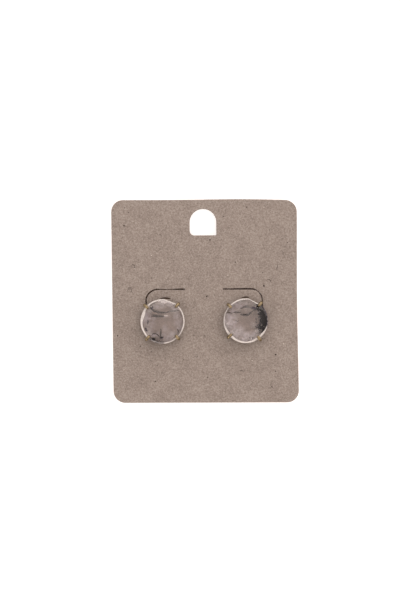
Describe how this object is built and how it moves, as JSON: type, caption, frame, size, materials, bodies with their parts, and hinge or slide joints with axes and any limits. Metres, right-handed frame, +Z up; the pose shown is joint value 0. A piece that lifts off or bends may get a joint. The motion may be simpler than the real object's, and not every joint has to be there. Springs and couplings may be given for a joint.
{
  "type": "pair of stud earrings on a display card",
  "caption": "Stud earrings with round cloudy quartz stones in gold-coloured claw settings, their posts pushed through a kraft display card with a hang hole and slits, held by scrolled ear nuts.",
  "frame": {"origin": "on the table under the middle of the loaded card", "axes": "+X across the card, +Y towards the hang-hole edge, +Z up; the card lies face up, tipped about 16 degrees down towards +Y, on that edge and on both post tips"},
  "size_m": [0.05, 0.0528, 0.0157],
  "materials": {
    "kraft_board": "matt grey-brown recycled kraft board, dark specks",
    "smoky_quartz": "polished translucent grey-brown quartz with dark inclusions",
    "gold": "soft-polished gold plate",
    "gold_nut": "bright tumbled gold plate"
  },
  "bodies": {
    "root": {"card": "kraft_board", "stone_left": "smoky_quartz", "stone_right": "smoky_quartz", "setting_left": "gold", "setting_right": "gold", "ear_nut_left": "gold_nut", "ear_nut_right": "gold_nut"}
  },
  "joints": []
}
